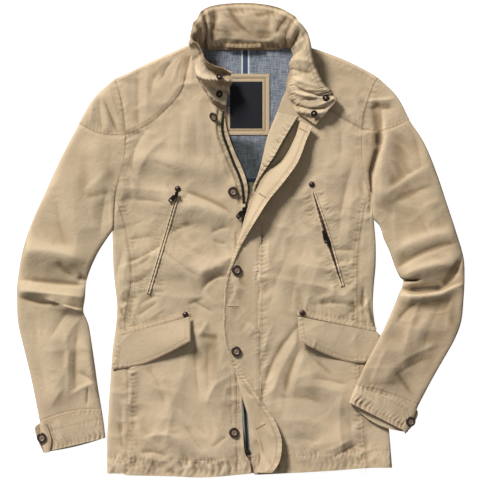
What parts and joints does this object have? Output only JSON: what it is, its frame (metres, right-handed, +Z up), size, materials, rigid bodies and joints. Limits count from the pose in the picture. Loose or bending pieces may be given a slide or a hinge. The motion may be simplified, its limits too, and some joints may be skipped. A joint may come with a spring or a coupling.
{
  "type": "field jacket",
  "caption": "Hip-length field jacket laid flat, front up: part-zipped and buttoned storm flap, stand collar folded open, zipped chest pockets and flapped lower pockets.",
  "frame": {"origin": "on the flat underside of the back, on the surface the jacket lies on, below the middle of the waist", "axes": "+Z up from the surface, +Y towards the collar, +X towards the wearer's left sleeve"},
  "size_m": [0.8053, 0.8528, 0.0558],
  "materials": {
    "cloth": "matte",
    "lining": "matte",
    "label": "matte",
    "button": "satin",
    "metal": "satin",
    "rivet": "satin"
  },
  "bodies": {
    "jacket": {"back": "cloth", "back_lining": "lining", "button_1": "button", "button_2": "button", "button_3": "button", "button_4": "button", "button_5": "button", "chest_left_slider": "metal", "chest_right_slider": "metal", "chest_welt_left": "cloth", "chest_welt_right": "cloth", "chest_zip_left": "metal", "chest_zip_right": "metal", "collar_inner": "cloth", "collar_outer": "cloth", "cuff_button_left": "button", "cuff_button_right": "button", "cuff_left": "cloth", "cuff_right": "cloth", "cuff_tab_left": "cloth", "cuff_tab_right": "cloth", "facing_left": "cloth", "front_left": "cloth", "front_right": "cloth", "front_slider": "metal", "front_yoke_left": "cloth", "front_yoke_right": "cloth", "hanger_loop": "cloth", "label": "label", "label_patch": "cloth", "pocket_flap_left": "cloth", "pocket_flap_right": "cloth", "pocket_welt_left": "cloth", "pocket_welt_right": "cloth", "rivet_chest_left": "rivet", "rivet_chest_right": "rivet", "rivet_pocket_left": "rivet", "rivet_pocket_right": "rivet", "side_panel_left": "cloth", "side_panel_right": "cloth", "sleeve_cap_left": "cloth", "sleeve_cap_right": "cloth", "sleeve_left": "cloth", "sleeve_right": "cloth", "snap_left_lower": "metal", "snap_left_upper": "metal", "snap_right_lower": "metal", "snap_right_upper": "metal", "storm_flap": "cloth", "zip_chain_closed": "metal", "zip_chain_left": "metal", "zip_chain_right": "metal", "zip_stop": "metal"},
    "front_pull": {"front_pull": "metal"},
    "chest_right_pull": {"chest_right_pull": "metal"},
    "chest_left_pull": {"chest_left_pull": "metal"}
  },
  "joints": [
    {"name": "front_pull_swing", "type": "hinge", "parent": "jacket", "child": "front_pull", "pos_m": [0.0072, 0.108, 0.01275], "axis": [-0.7507, 0.6606, 0], "range_deg": [0, 170]},
    {"name": "chest_right_pull_swing", "type": "hinge", "parent": "jacket", "child": "chest_right_pull", "pos_m": [-0.114, 0.136, 0.01981], "axis": [-0.7317, 0.6816, 0], "range_deg": [0, 170]},
    {"name": "chest_left_pull_swing", "type": "hinge", "parent": "jacket", "child": "chest_left_pull", "pos_m": [0.151, 0.066, 0.01663], "axis": [-0.9536, -0.3011, 0], "range_deg": [0, 170]}
  ]
}
